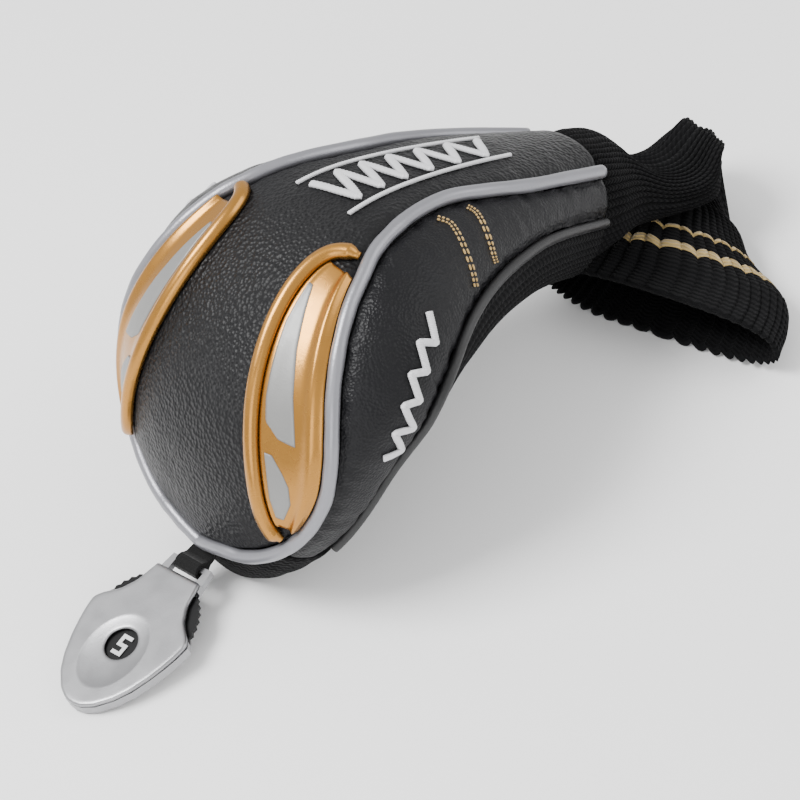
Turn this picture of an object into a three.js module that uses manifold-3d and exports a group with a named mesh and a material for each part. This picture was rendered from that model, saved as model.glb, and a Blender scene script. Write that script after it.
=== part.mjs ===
// Fairway-wood head cover with a rotating number tag.
// Millimetres, +Z up. The cover stands as an arch on its nose and on its folded knit sock,
// with the metal tag resting in front of the nose. Crown up, neck towards +X, right side -Y.
import * as THREE from 'three';
import { mergeVertices } from 'three/addons/utils/BufferGeometryUtils.js';
import Module from 'manifold-3d';

const wasm = await Module();
wasm.setup();

// ---------------------------------------------------------------- driving dimensions
// spine of the cover in its own mid-plane, nose (first) to neck mouth (last)
const SPINE_X = [-69.6, -66.1, -57.4, -36.6, -10.1, 28.0, 71.5];
const SPINE_Z = [-32.4, -4.3, 29.8, 53.5, 60.6, 60.7, 52.0];
const HALF_WIDTH = [30.5, 47.1, 59.0, 61.5, 51.7, 37.7, 24.2];   // across the mid-plane
const HALF_DEPTH = [12.9, 20.5, 26.6, 31.1, 30.5, 25.3, 24.8];   // in the mid-plane
const NOSE_LENGTH = 0.30;      // share of the spine over which the nose rounds off
const NOSE_POWER = 2.3;
const SECTION_POWER = 2.25;    // 2 is an ellipse
const STANCE_TILT = 15 * Math.PI / 180;  // how far the arch leans forward onto its sock
const TABLE_RISE = 12.2;       // spine frame height above the surface the cover stands on
const ORIGIN_X = 3.96;          // middle of the whole object in the stance frame
const ORIGIN_Y = -9.81;

const NOSE_S = 0.157;          // where the side panels and gusset meet the nose panel
const LEATHER = 1.5, KNIT = 2.0, FOAM = 3.6, LINING = 1.2;
const PIPING_R = 2.3, WELT_R = 1.7, GAP = 0.4;
const ROLL_W = 5.4, ROLL_H = 3.2;
const WALL_SOCK = 2.0;

// tag, in its own frame: x across, y towards the strap, z out of its face
const TAG_AT = [-92.0, -1.2, 11.4], TAG_PITCH = 9.3, TAG_YAW = 9.0;   // degrees
const TAG_FACE_T = 1.4, TAG_FACE_Z = 1.25, TRAY_FLOOR = [-2.2, -1.2];
const DIAL_R = 19.4, DIAL_Y = -22.0, DIAL_Z = [-0.9, 0.4], DIAL_TEETH = 44;
const WINDOW_R = 5.7, WINDOW_Y = -31.8, NUMERAL_RADIUS = 9.8, NUMERAL_H = 7.4;
const PIN_R = 1.6;
const STRAP_W = 10.0, STRAP_T = 1.3;
const STRAP_ROOT = [-82.9, 0, 12.4];

// ---------------------------------------------------------------- helpers
function natural(ys) {                       // natural cubic spline on 0..1
  const n = ys.length - 1, h = 1 / n, m = new Array(n + 1).fill(0);
  const c = [], d = [];
  for (let i = 1; i < n; i++) {
    const r = 6 * (ys[i + 1] - 2 * ys[i] + ys[i - 1]) / (h * h), w = 4 - (i > 1 ? c[i - 1] : 0);
    c[i] = 1 / w; d[i] = (r - (i > 1 ? d[i - 1] : 0)) / w;
  }
  for (let i = n - 1; i > 0; i--) m[i] = d[i] - (i < n - 1 ? c[i] * m[i + 1] : 0);
  return s => {
    const i = Math.max(0, Math.min(n - 1, Math.floor(s * n))), t = s - i * h, u = h - t;
    return m[i] * u ** 3 / (6 * h) + m[i + 1] * t ** 3 / (6 * h)
      + (ys[i] / h - m[i] * h / 6) * u + (ys[i + 1] / h - m[i + 1] * h / 6) * t;
  };
}
const spX = natural(SPINE_X), spZ = natural(SPINE_Z), spA = natural(HALF_WIDTH), spB = natural(HALF_DEPTH);
const lerp = (a, b, t) => a + (b - a) * t;
const pw = (v, e) => Math.sign(v) * Math.abs(v) ** e;
const closing = s => { const t = Math.min(Math.max(1 - s / NOSE_LENGTH, 0), 1); return Math.max(1 - t ** NOSE_POWER, 0) ** (1 / NOSE_POWER); };
const V = (x, y, z) => new THREE.Vector3(x, y, z);
const ct = Math.cos(STANCE_TILT), st = Math.sin(STANCE_TILT);
function stance(x, y, z) { return V(x * ct + z * st, y, -x * st + z * ct + TABLE_RISE); }

function skin(s, th) {                       // a point of the cover's outer surface
  const e = 1e-4, tx = spX(Math.min(s + e, 1)) - spX(Math.max(s - e, 0)), tz = spZ(Math.min(s + e, 1)) - spZ(Math.max(s - e, 0));
  const l = Math.hypot(tx, tz), cl = closing(s), q = 2 / SECTION_POWER;
  const b = spB(s) * cl * pw(Math.cos(th), q), a = spA(s) * cl * pw(Math.sin(th), q);
  return stance(spX(s) - tz / l * b, -a, spZ(s) + tx / l * b);
}
function frameAt(s, th) {
  const h = 2e-3, s1 = Math.min(s + h, 1), s0 = Math.max(s - h, 1e-6);
  const us = skin(s1, th).sub(skin(s0, th)).divideScalar(s1 - s0), ut = skin(s, th + h).sub(skin(s, th - h)).divideScalar(2 * h);
  const n = us.clone().cross(ut).normalize();
  const mid = stance(spX(s), 0, spZ(s));
  if (n.dot(skin(s, th).sub(mid)) < 0) n.negate();
  return { us, ut, n };
}
function at(s, th, off, rest = false) {       // point off the skin along its normal
  const p = s < 1e-5 ? skin(1e-5, 0) : skin(s, th);
  const n = s < 1e-5 ? (() => { const f = V(0, 0, 0), a = skin(0.02, 0), b = skin(0.02, Math.PI); f.copy(a).add(b).multiplyScalar(0.5); return skin(1e-5, 0).sub(f).normalize(); })() : frameAt(s, th).n;
  p.addScaledVector(n, off);
  if (rest) p.z = Math.max(p.z, -off - 0.1);
  return p;
}
function body(verts, tris) {
  const g = new THREE.BufferGeometry();
  g.setAttribute('position', new THREE.Float32BufferAttribute(verts.flatMap(v => [v.x, v.y, v.z]), 3));
  g.setIndex(tris.flat());
  // turn the faces outwards
  let vol = 0;
  for (const [a, b, c] of tris) vol += verts[a].dot(verts[b].clone().cross(verts[c]));
  if (vol < 0) g.setIndex(tris.flatMap(([a, b, c]) => [a, c, b]));
  return g;
}
// thin sheet: rows of points on an outer and an inner face, closed by four side walls
function sheet(outer, inner) {
  const R = outer.length, C = outer[0].length, v = [], t = [];
  for (const r of outer) v.push(...r);
  for (const r of inner) v.push(...r);
  const o = (i, j) => i * C + j, n = (i, j) => R * C + i * C + j;
  const quad = (a, b, c, d) => t.push([a, b, c], [a, c, d]);
  for (let i = 0; i < R - 1; i++) for (let j = 0; j < C - 1; j++) {
    quad(o(i, j), o(i, j + 1), o(i + 1, j + 1), o(i + 1, j));
    quad(n(i, j), n(i + 1, j), n(i + 1, j + 1), n(i, j + 1));
  }
  for (let i = 0; i < R - 1; i++) { quad(o(i, 0), o(i + 1, 0), n(i + 1, 0), n(i, 0)); quad(o(i + 1, C - 1), o(i, C - 1), n(i, C - 1), n(i + 1, C - 1)); }
  for (let j = 0; j < C - 1; j++) { quad(o(0, j + 1), o(0, j), n(0, j), n(0, j + 1)); quad(o(R - 1, j), o(R - 1, j + 1), n(R - 1, j + 1), n(R - 1, j)); }
  return body(v, t);
}
// closed sleeve: rings of points, outer and inner, joined at both rims
function sleeve(outer, inner) {
  const R = outer.length, C = outer[0].length, v = [], t = [];
  for (const r of outer) v.push(...r);
  for (const r of inner) v.push(...r);
  const o = (i, j) => i * C + j % C, n = (i, j) => R * C + i * C + j % C;
  const quad = (a, b, c, d) => t.push([a, b, c], [a, c, d]);
  for (let i = 0; i < R - 1; i++) for (let j = 0; j < C; j++) {
    quad(o(i, j), o(i, j + 1), o(i + 1, j + 1), o(i + 1, j));
    quad(n(i, j), n(i + 1, j), n(i + 1, j + 1), n(i, j + 1));
  }
  for (let j = 0; j < C; j++) { quad(o(0, j + 1), o(0, j), n(0, j), n(0, j + 1)); quad(o(R - 1, j), o(R - 1, j + 1), n(R - 1, j + 1), n(R - 1, j)); }
  return body(v, t);
}
// a section swept along a line drawn on the skin; profile points are [across, up]
function bead(line, profile, lift) {
  const rings = line.map(([s, th], i) => {
    const a = line[Math.max(i - 1, 0)], b = line[Math.min(i + 1, line.length - 1)];
    const t = at(b[0], b[1], 0).sub(at(a[0], a[1], 0)).normalize(), n = frameAt(s, th).n, m = t.clone().cross(n).normalize();
    const up = m.clone().cross(t).normalize(); if (up.dot(n) < 0) up.negate();
    const c = at(s, th, lift);
    return profile.map(([x, y]) => c.clone().addScaledVector(m, x).addScaledVector(up, y));
  });
  const C = profile.length, R = rings.length, v = rings.flat(), t = [];
  for (let i = 0; i < R - 1; i++) for (let j = 0; j < C; j++) { const a = i * C + j, b = i * C + (j + 1) % C, c = a + C, d = b + C; t.push([a, b, d], [a, d, c]); }
  for (let j = 1; j < C - 1; j++) { t.push([0, j + 1, j]); const k = (R - 1) * C; t.push([k, k + j, k + j + 1]); }
  return body(v, t);
}
const round = (r, n) => Array.from({ length: n }, (_, i) => [r * Math.cos(2 * Math.PI * i / n), r * Math.sin(2 * Math.PI * i / n)]);
const domed = (w, h, n) => Array.from({ length: n + 1 }, (_, i) => [w / 2 * Math.cos(Math.PI * i / n), h * Math.sin(Math.PI * i / n)]);
// smooth line through (s, theta) points
function line(pts, n) {
  const c = new THREE.CatmullRomCurve3(pts.map(([s, t]) => V(s * 4, t, 0)), false, 'centripetal');
  return c.getPoints(n).map(p => [p.x / 4, p.y]);
}
const mirror = l => l.map(([s, t]) => [s, -t]);
const nudge = (l, side, g) => l.map(([s, th], i) => {         // move a line sideways over the skin by g
  const a = l[Math.max(i - 1, 0)], b = l[Math.min(i + 1, l.length - 1)], f = frameAt(s, th);
  const t = at(b[0], b[1], 0).sub(at(a[0], a[1], 0)).normalize(), m = t.clone().cross(f.n).normalize().multiplyScalar(side * g);
  const aa = f.us.dot(f.us), ab = f.us.dot(f.ut), bb = f.ut.dot(f.ut), p = m.dot(f.us), q = m.dot(f.ut), det = aa * bb - ab * ab;
  return [Math.min(s + (p * bb - q * ab) / det, 1), th + (q * aa - p * ab) / det];
});
const fn = pts => { const p = [...pts].sort((a, b) => a[0] - b[0]); return s => { if (s <= p[0][0]) return p[0][1]; for (let i = 1; i < p.length; i++) if (s <= p[i][0]) return lerp(p[i - 1][1], p[i][1], (s - p[i - 1][0]) / (p[i][0] - p[i - 1][0])); return p[p.length - 1][1]; }; };
function patch(lineA, lineB, nT, o, i) {       // sheet between two lines of equal length
  const rows = off => lineA.map((a, k) => Array.from({ length: nT + 1 }, (_, j) => at(lerp(a[0], lineB[k][0], j / nT), lerp(a[1], lineB[k][1], j / nT), off)));
  return sheet(rows(o), rows(i));
}
function solid(g) {
  const c = g.clone(); c.deleteAttribute('normal'); c.deleteAttribute('uv');
  const q = c.attributes.position;                       // snap to a fine grid so that seams meet
  for (let i = 0; i < q.count; i++) q.setXYZ(i, ...[q.getX(i), q.getY(i), q.getZ(i)].map(x => (Math.round(x * 4096) + 0.25) / 4096));
  const m = mergeVertices(c, 1e-5), t = [];
  for (let i = 0; i < m.index.count; i += 3) { const [a, b, d] = [0, 1, 2].map(k => m.index.getX(i + k)); if (a !== b && b !== d && a !== d) t.push(a, b, d); }
  return new wasm.Manifold(new wasm.Mesh({ numProp: 3, vertProperties: new Float32Array(m.attributes.position.array), triVerts: new Uint32Array(t) }));
}
function unsolid(m) {
  const k = m.getMesh(), g = new THREE.BufferGeometry();
  g.setAttribute('position', new THREE.BufferAttribute(new Float32Array(k.vertProperties), 3));
  g.setIndex(new THREE.BufferAttribute(new Uint32Array(k.triVerts), 1));
  return g;
}
const cut = (a, ...b) => { const k = b.reduce((m, x) => m.subtract(solid(x)), solid(a)).decompose().map(m => [m.volume(), m]); if (k.length > 1) k.sort((x, y) => y[0] - x[0]); return unsolid(k[0][1]); };

// ---------------------------------------------------------------- finishes
const finish = (color, roughness, metalness = 0) => new THREE.MeshStandardMaterial({ color, roughness, metalness });
const blackLeather = finish(0x232325, 0.55), sideLeather = finish(0x28282a, 0.6), silverTrim = finish(0xa6a6aa, 0.35, 0.3);
const gold = finish(0xbe8c3c, 0.3, 0.7), windowGrey = finish(0xa2a09a, 0.4, 0.3), knit = finish(0x222224, 0.95), goldYarn = finish(0xb9a064, 0.9);
const thread = finish(0xdadad6, 0.7), foam = finish(0x55555a, 0.95), fleece = finish(0x3a3a40, 1.0), elastic = finish(0x1d1d1f, 0.9);
const webbing = finish(0x151516, 0.85), satin = finish(0xa5a5a5, 0.35, 0.9), dialBlack = finish(0x141414, 0.6), steel = finish(0x8c8c8c, 0.4, 0.9);

const object = new THREE.Group();
const cover = new THREE.Group();
object.add(cover);
const put = (name, geometry, material, parent = cover) => { const m = new THREE.Mesh(geometry, material); m.name = name; parent.add(m); return m; };

// ---------------------------------------------------------------- lines on the cover
// crown piping, right half, from the middle of the nose to the neck mouth
const PIPE = [[0.088, 0.0], [0.098, 0.16], [0.112, 0.36], [0.126, 0.62], [0.158, 0.88], [0.198, 1.06], [0.239, 1.15], [0.285, 1.17], [0.33, 1.095],
  [0.364, 0.998], [0.414, 0.84], [0.464, 0.71], [0.505, 0.624], [0.534, 0.577], [0.57, 0.512], [0.612, 0.477], [0.661, 0.454], [0.734, 0.46], [0.793, 0.55],
  [0.855, 0.655], [0.929, 0.715], [0.992, 0.76]];
// seam between side panel and knit gusset, from the nose corner to the neck mouth
const WELT = [[0.115, 1.25], [0.15, 1.62], [0.20, 1.84], [0.27, 1.97], [0.36, 2.0], [0.425, 1.93], [0.482, 1.78], [0.573, 1.609], [0.656, 1.458], [0.728, 1.385],
  [0.804, 1.358], [0.858, 1.36], [0.953, 1.44], [0.992, 1.47]];
const ROLL = [[0.552, 0.475], [0.547, 0.40], [0.535, 0.335], [0.518, 0.30], [0.498, 0.286], [0.475, 0.286], [0.44, 0.305], [0.40, 0.345], [0.365, 0.395],
  [0.33, 0.46], [0.29, 0.545], [0.255, 0.63], [0.228, 0.725], [0.212, 0.82], [0.204, 0.92]];
const N = 26;
const pipeLine = line(PIPE, 38), pipeHalf = line(PIPE, N), weltLine = line(WELT, N);
const crownEdge = nudge(pipeHalf, -1, PIPING_R + GAP), sideEdge = nudge(pipeHalf, 1, PIPING_R + GAP), weltIn = nudge(weltLine, -1, WELT_R + GAP);

// crown piping: one loop, neck to nose to neck
put('crown_piping', bead([...mirror(pipeLine).reverse(), ...pipeLine.slice(1)], round(PIPING_R, 6), 0.3), silverTrim);

// crown panel over the outer curve
{
  const e = crownEdge.filter(([s, t]) => t > 0.09);
  put('crown_panel', patch(mirror(e), e, 8, 0, -LEATHER), blackLeather);
  const f = crownEdge.filter(([s, t]) => s > 0.13 && s < 0.74);
  put('crown_foam', patch(mirror(f), f, 6, -LEATHER - 1.1, -LEATHER - 1.1 - FOAM), foam);
}
// side panels: each runs from the piping to the welt
{
  const K = 22, sub = (l, a, b) => { const k = []; for (let i = 0; i <= K; i++) { const s = lerp(a, b, i / K); k.push([s, fn(l)(s)]); } return k; };
  const S0 = NOSE_S + 0.006, top = sub(sideEdge.filter(([s]) => s > 0.13), S0, 0.992), low = sub(weltIn, S0, 0.992);
  put('side_panel_right', patch(top, low, 5, 0, -LEATHER), sideLeather);
  put('side_panel_left', patch(mirror(low), mirror(top), 5, 0, -LEATHER), sideLeather);
  const clip = l => l.filter(([s]) => s > 0.2 && s < 0.74);
  put('side_foam_right', patch(clip(top), clip(low), 3, -LEATHER - 1.1, -LEATHER - 1.1 - FOAM), foam);
  put('side_foam_left', patch(mirror(clip(low)), mirror(clip(top)), 3, -LEATHER - 1.1, -LEATHER - 1.1 - FOAM), foam);
}
// welts along the gusset
const weltBead = line(WELT, 40).filter(([s]) => s > NOSE_S + 0.012);
put('welt_right', bead(weltBead, round(WELT_R, 6), 0.1), blackLeather);
put('welt_left', bead(mirror(weltBead).reverse(), round(WELT_R, 6), 0.1), blackLeather);

// nose panel: closes the nose below the piping loop; it sits flat on the surface below it
{
  const C = 24, K = 5, e = nudge(pipeLine, 1, PIPING_R + GAP + 0.1).filter(([s]) => s < 0.2).map(([s, t]) => [t, s]);
  const reach = t => { const q = Math.abs(t > Math.PI ? t - 2 * Math.PI : t); return Math.min(fn(e)(q), NOSE_S); };
  const rows = off => Array.from({ length: K }, (_, k) => Array.from({ length: C }, (_, j) => { const t = 2 * Math.PI * j / C; return at(reach(t) * ((k + 1) / K) ** 1.4, t, off, true); }));
  const outer = rows(-0.1), inner = rows(-0.1 - KNIT), v = [...outer.flat(), ...inner.flat()], t = [], o = (i, j) => i * C + j % C, n = (i, j) => K * C + i * C + j % C;
  for (let i = 0; i < K - 1; i++) for (let j = 0; j < C; j++) {
    t.push([o(i, j), o(i, j + 1), o(i + 1, j + 1)], [o(i, j), o(i + 1, j + 1), o(i + 1, j)]);
    t.push([n(i, j), n(i + 1, j + 1), n(i, j + 1)], [n(i, j), n(i + 1, j), n(i + 1, j + 1)]);
  }
  const po = v.length; v.push(outer[0].reduce((a, p) => a.add(p), V(0, 0, 0)).divideScalar(C));
  const pi = v.length; v.push(inner[0].reduce((a, p) => a.add(p), V(0, 0, 0)).divideScalar(C));
  for (let j = 0; j < C; j++) { t.push([po, o(0, j + 1), o(0, j)], [pi, n(0, j), n(0, j + 1)]); t.push([o(K - 1, j), o(K - 1, j + 1), n(K - 1, j + 1)], [o(K - 1, j), n(K - 1, j + 1), n(K - 1, j)]); }
  put('nose_panel', body(v, t), knit);
}
// knit gusset: the inside of the bend, between the two welts
{
  const K = 20, g = nudge(weltLine, 1, WELT_R + GAP), r = Array.from({ length: K + 1 }, (_, i) => { const s = lerp(NOSE_S + 0.006, 0.992, i / K); return [s, fn(g)(s)]; });
  put('knit_gusset', patch(r, r.map(([s, t]) => [s, 2 * Math.PI - t]), 10, -0.1, -0.1 - KNIT), knit);
}
// fleece lining: a bag open at the neck
{
  const rows = [0.13, 0.18, 0.24, 0.31, 0.39, 0.47, 0.55, 0.63, 0.71, 0.79, 0.85, 0.905], C = 18, o = -LEATHER - 1.1 - FOAM - 0.7;
  const ring = (s, off) => Array.from({ length: C }, (_, j) => at(s, 2 * Math.PI * j / C, off));
  put('fleece_lining', sleeve(rows.map(s => ring(s, o)), rows.map(s => ring(s, o - LINING))), fleece);
  const er = [0.925, 0.95, 0.985];
  put('neck_elastic', sleeve(er.map(s => ring(s, -2.7)), er.map(s => ring(s, -3.9))), elastic);
}

// moulded inserts, one on each shoulder of the crown
{
  const PLATE_O = 1.7, PLATE_I = 0.65;
  const rl = line(ROLL, 26), inner = nudge(rl, -1, ROLL_W / 2 + GAP), edge = nudge(pipeHalf, -1, PIPING_R + GAP);
  const base = domed(ROLL_W, ROLL_H, 6).map(([x, y]) => [x, y]);
  const innerFn = fn(inner.filter(([s], i) => i > 4)), edgeFn = fn(edge);
  const rows = Array.from({ length: 13 }, (_, i) => lerp(0.228, 0.524, i / 12));
  const lo = rows.map(s => [s, innerFn(s)]), hi = rows.map(s => [s, Math.max(edgeFn(s), innerFn(s) + 0.05)]);
  const w1L = fn([[0.497, 0.352], [0.471, 0.36], [0.448, 0.37], [0.421, 0.40], [0.395, 0.435], [0.37, 0.475], [0.347, 0.53], [0.334, 0.66]]);
  const w1R = fn([[0.497, 0.375], [0.468, 0.433], [0.429, 0.515], [0.383, 0.636], [0.353, 0.732], [0.334, 0.79]]);
  const w2L = fn([[0.318, 0.585], [0.300, 0.63], [0.264, 0.715], [0.238, 0.81]]), w2R = fn([[0.318, 0.63], [0.30, 0.76], [0.287, 0.835], [0.265, 0.895], [0.238, 0.88]]);
  const r1 = Array.from({ length: 9 }, (_, i) => lerp(0.336, 0.494, i / 8)), r2 = Array.from({ length: 6 }, (_, i) => lerp(0.240, 0.316, i / 5));
  for (const [side, m] of [['right', l => l], ['left', mirror]]) {
    const f = side === 'right', order = (a, b) => (f ? [a, b] : [m(b), m(a)]);
    put(`insert_roll_${side}`, bead(m(rl), base, 0.6), gold);
    put(`insert_plate_${side}`, patch(...order(lo, hi), 4, PLATE_O, PLATE_I), gold);
    put(`insert_upper_window_${side}`, patch(...order(r1.map(s => [s, w1L(s)]), r1.map(s => [s, w1R(s)])), 2, PLATE_O + 0.9, PLATE_O + 0.35), windowGrey);
    put(`insert_lower_window_${side}`, patch(...order(r2.map(s => [s, w2L(s)]), r2.map(s => [s, w2R(s)])), 2, PLATE_O + 0.9, PLATE_O + 0.35), windowGrey);
  }
}
// raised satin-stitch zigzags and the gold thread rows
{
  const zig = (s0, s1, n, mid, amp) => Array.from({ length: n + 1 }, (_, i) => { const s = lerp(s0, s1, i / n); return [s, mid(s) + (i % 2 ? amp : -amp)]; });
  const dense = (l, k) => l.flatMap((p, i) => (i === l.length - 1 ? [p] : Array.from({ length: k }, (_, j) => [lerp(p[0], l[i + 1][0], j / k), lerp(p[1], l[i + 1][1], j / k)])));
  const strip = [[-1.5, 0], [1.5, 0], [1.1, 1.0], [-1.1, 1.0]];
  put('crown_embroidery', bead(dense(zig(0.60, 0.86, 12, () => 0.02, 0.12), 2), strip, 0.45), thread);
  const sm = fn([[0.33, 1.66], [0.42, 1.56], [0.50, 1.33], [0.575, 1.15]]);
  const side = dense(zig(0.36, 0.565, 10, sm, 0.085), 2);
  put('side_embroidery_right', bead(side, strip.map(([x, y]) => [x * 0.8, y]), 0.45), thread);
  put('side_embroidery_left', bead(mirror(side), strip.map(([x, y]) => [x * 0.8, y]), 0.45), thread);
  const rows = [['front', [[0.688, 0.575], [0.699, 0.66], [0.698, 0.76], [0.691, 0.92], [0.682, 1.13], [0.675, 1.27]]],
    ['rear', [[0.744, 0.61], [0.749, 0.68], [0.748, 0.78], [0.74, 1.0], [0.735, 1.14], [0.734, 1.22]]]];
  for (const [k, l] of rows) {
    const d = line(l, 12), prof = [[-0.8, 0], [0.8, 0], [0.5, 0.6], [-0.5, 0.6]];
    put(`stitch_row_${k}_right`, bead(d, prof, 0.4), goldYarn);
    put(`stitch_row_${k}_left`, bead(mirror(d), prof, 0.4), goldYarn);
  }
}

// ---------------------------------------------------------------- knit sock
// stations: centre, half-width direction and size, half-height direction and size
const SOCK = [
  { c: [74.6, 0, 48.6], w: [0, -1, 0], a: 18.8, h: [0.48, 0, 0.877], b: 19.3 },
  { c: [81.6, 0, 44.8], w: [0, -1, 0], a: 19.2, h: [0.48, 0, 0.877], b: 19.6 },
  { c: [87.837, 0.628, 43.056], w: [-0.071, -1, 0], a: 20.78, h: [0.42, 0, 0.91], b: 20.898 },
  { c: [96.589, 0.441, 41.117], w: [-0.119, -1, 0], a: 21.188, h: [0.3, 0, 0.954], b: 19.144 },
  { c: [109.803, 0.795, 36.783], w: [-0.198, -1, 0], a: 20.178, h: [0.16, 0, 0.987], b: 14.978 },
  { c: [116.801, -3.361, 31.641], w: [-0.025, -1, 0], a: 18.442, h: [0.06, 0, 1], b: 10.268 },
  { c: [132.024, -7.917, 28.692], w: [0.062, -1, 0], a: 15.744, h: [0, 0, 1], b: 8.226 },
  { c: [143.281, -2.944, 27.967], w: [0.052, -0.99, 0], a: 13.287, h: [0.7, 0.1, 0.7], b: 10.738 },
  { c: [143.913, 3.283, 20.373], w: [0.017, -0.98, 0], a: 15.103, h: [1, 0.2, 0], b: 11.545 },
];
const FOLD = [
  { c: [143.913, 3.283, 19.623], w: [0.017, -0.98, 0], a: 15.103, h: [1, 0.2, 0], b: 11.545 },
  { c: [139.532, 0.274, 11.602], w: [0.07, -0.96, 0], a: 18.923, h: [0.72, 0.2, -0.68], b: 10.651 },
  { c: [130.04, -7.758, 9.686], w: [0.159, -0.94, 0], a: 24.447, h: [0, 0, -1], b: 9.986 },
  { c: [119.355, -15.197, 9.612], w: [0.205, -0.93, 0], a: 30.12, h: [0, 0, -1], b: 9.912 },
  { c: [110.78, -22.568, 9.746], w: [0.266, -0.937, 0], a: 36.565, h: [0, 0, -1], b: 10.046 },
  { c: [103.557, -28.937, 10.127], w: [0.287, -0.944, 0], a: 42.075, h: [0, 0, -1], b: 10.427 },
];
const CUFF = [
  { c: [103.107, -28.937, 10.127], w: [0.287, -0.944, 0], a: 42.075, h: [0, 0, -1], b: 10.427 },
  { c: [96.722, -33.385, 10.2], w: [0.204, -0.947, 0], a: 45.558, h: [0, 0, -1], b: 10.5 },
  { c: [87.134, -37.658, 10.7], w: [0.189, -0.95, 0], a: 46.82, h: [0, 0, -1], b: 11 },
];
function sockRing(k, grow, n = 20, floor = true, e = 2.4) {
  const c = V(...k.c), w = V(...k.w).normalize(), h = V(...k.h).normalize(), q = 2 / e;
  return Array.from({ length: n }, (_, i) => {
    const t = 2 * Math.PI * (i + 0.5) / n;
    const p = c.clone().addScaledVector(w, (k.a + grow) * pw(Math.cos(t), q)).addScaledVector(h, (k.b + grow) * pw(Math.sin(t), q));
    if (floor) p.z = Math.max(p.z, -grow);
    return p;
  });
}
const sock = (ks, o, i, n) => sleeve(ks.map(k => sockRing(k, o, n)), ks.map(k => sockRing(k, i, n)));
put('sock_neck', sock(SOCK, 0, -WALL_SOCK), knit);
put('sock_mouth', sock(FOLD, 0, -WALL_SOCK), knit);
put('sock_cuff', sock(CUFF, 0.0, -WALL_SOCK - 0.5), knit);
{
  const mix = (a, b, t) => ({ c: a.c.map((v, i) => lerp(v, b.c[i], t)), w: a.w.map((v, i) => lerp(v, b.w[i], t)), h: a.h.map((v, i) => lerp(v, b.h[i], t)), a: lerp(a.a, b.a, t), b: lerp(a.b, b.b, t) });
  // gold yarn rows: shallow arcs over the upper face, where the knit is not pressed on the surface below
  const band = (t0, t1) => {
    const k = [t0, (t0 + t1) / 2, t1].map(t => (t < 1 ? mix(FOLD[3], FOLD[4], t) : mix(FOLD[4], FOLD[5], t - 1)));
    const row = g => k.map(q => sockRing(q, g, 20, false).slice(10, 20));
    return sheet(row(0.75), row(0.35));
  };
  put('sock_stripe_narrow', band(0.22, 0.38), goldYarn);
  put('sock_stripe_wide', band(0.62, 0.95), goldYarn);
}

// ---------------------------------------------------------------- strap and tag
const tag = new THREE.Group();
{
  const yaw = TAG_YAW * Math.PI / 180, pitch = TAG_PITCH * Math.PI / 180;
  const d = V(-Math.cos(pitch) * Math.cos(yaw), -Math.cos(pitch) * Math.sin(yaw), -Math.sin(pitch));
  const w = V(Math.sin(yaw), -Math.cos(yaw), 0), y = d.clone().negate(), z = w.clone().cross(y);
  tag.matrix.makeBasis(w, y, z).setPosition(...TAG_AT); tag.matrix.decompose(tag.position, tag.quaternion, tag.scale);
}
cover.add(tag);
const BAR = V(0, 2.6, -0.6).applyQuaternion(tag.quaternion).add(tag.position);
{
  // strap: doubled webbing, a flat run from the nose seam and a loop round the tag's bar
  const p = new THREE.Group();
  p.rotation.set(0, 0, 0);
  cover.add(p);
  const root = V(...STRAP_ROOT), bar = BAR;
  const dir = bar.clone().sub(root), L = dir.length();
  const sh = new THREE.Shape();
  // side outline of the strap in (along, up), drawn round the bar at (L, 0)
  const R = 3.0, r = 1.7;
  sh.moveTo(0, 0.75); sh.lineTo(L - 3.6, 1.1); sh.quadraticCurveTo(L - 2.4, 1.6, L - 1.6, R * 0.85);
  sh.absarc(L, 0, R, 2.1, -2.1, true); sh.quadraticCurveTo(L - 2.4, -1.6, L - 3.6, -1.1); sh.lineTo(0, -0.75); sh.closePath();
  const hole = new THREE.Path(); hole.absarc(L, 0, r, 0, 2 * Math.PI, false); sh.holes.push(hole);
  const g = new THREE.ExtrudeGeometry(sh, { depth: STRAP_W, bevelEnabled: false, curveSegments: 5 });
  g.translate(0, 0, -STRAP_W / 2);
  const m = put('tag_strap', g, webbing, p);
  const x = dir.clone().normalize(), z = V(0, -1, 0).addScaledVector(x, x.y).normalize(), y = z.clone().cross(x);
  m.matrix.makeBasis(x, y, z).setPosition(root); m.matrix.decompose(m.position, m.quaternion, m.scale);
}
const HALF = [[8.5, 3.6], [9.0, 0], [9.4, -3], [10.4, -7], [11.4, -11], [14.4, -16], [19.2, -20], [21.3, -22.6], [20.7, -27], [19.5, -32], [17.9, -37], [15.3, -43.5], [12.0, -48.7], [7.6, -53.4], [3.4, -55.7]];
const outline = [...HALF, [0, -56.2], ...[...HALF].reverse().map(([x, y]) => [-x, y])].reverse();
function plate(inset, holes, z0, z1) {
  const sh = new THREE.Shape(outline.map(([x, y]) => { const k = Math.hypot(x, y + 26); return new THREE.Vector2(x * (1 - inset / k), -26 + (y + 26) * (1 - inset / k)); }));
  for (const h of holes) sh.holes.push(h);
  const g = new THREE.ExtrudeGeometry(sh, { depth: z1 - z0, bevelEnabled: false, curveSegments: 10 });
  g.translate(0, 0, z0);
  return g;
}
const disc = (x, y, r) => { const p = new THREE.Path(); p.absarc(x, y, r, 0, 2 * Math.PI, true); return p; };
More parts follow.
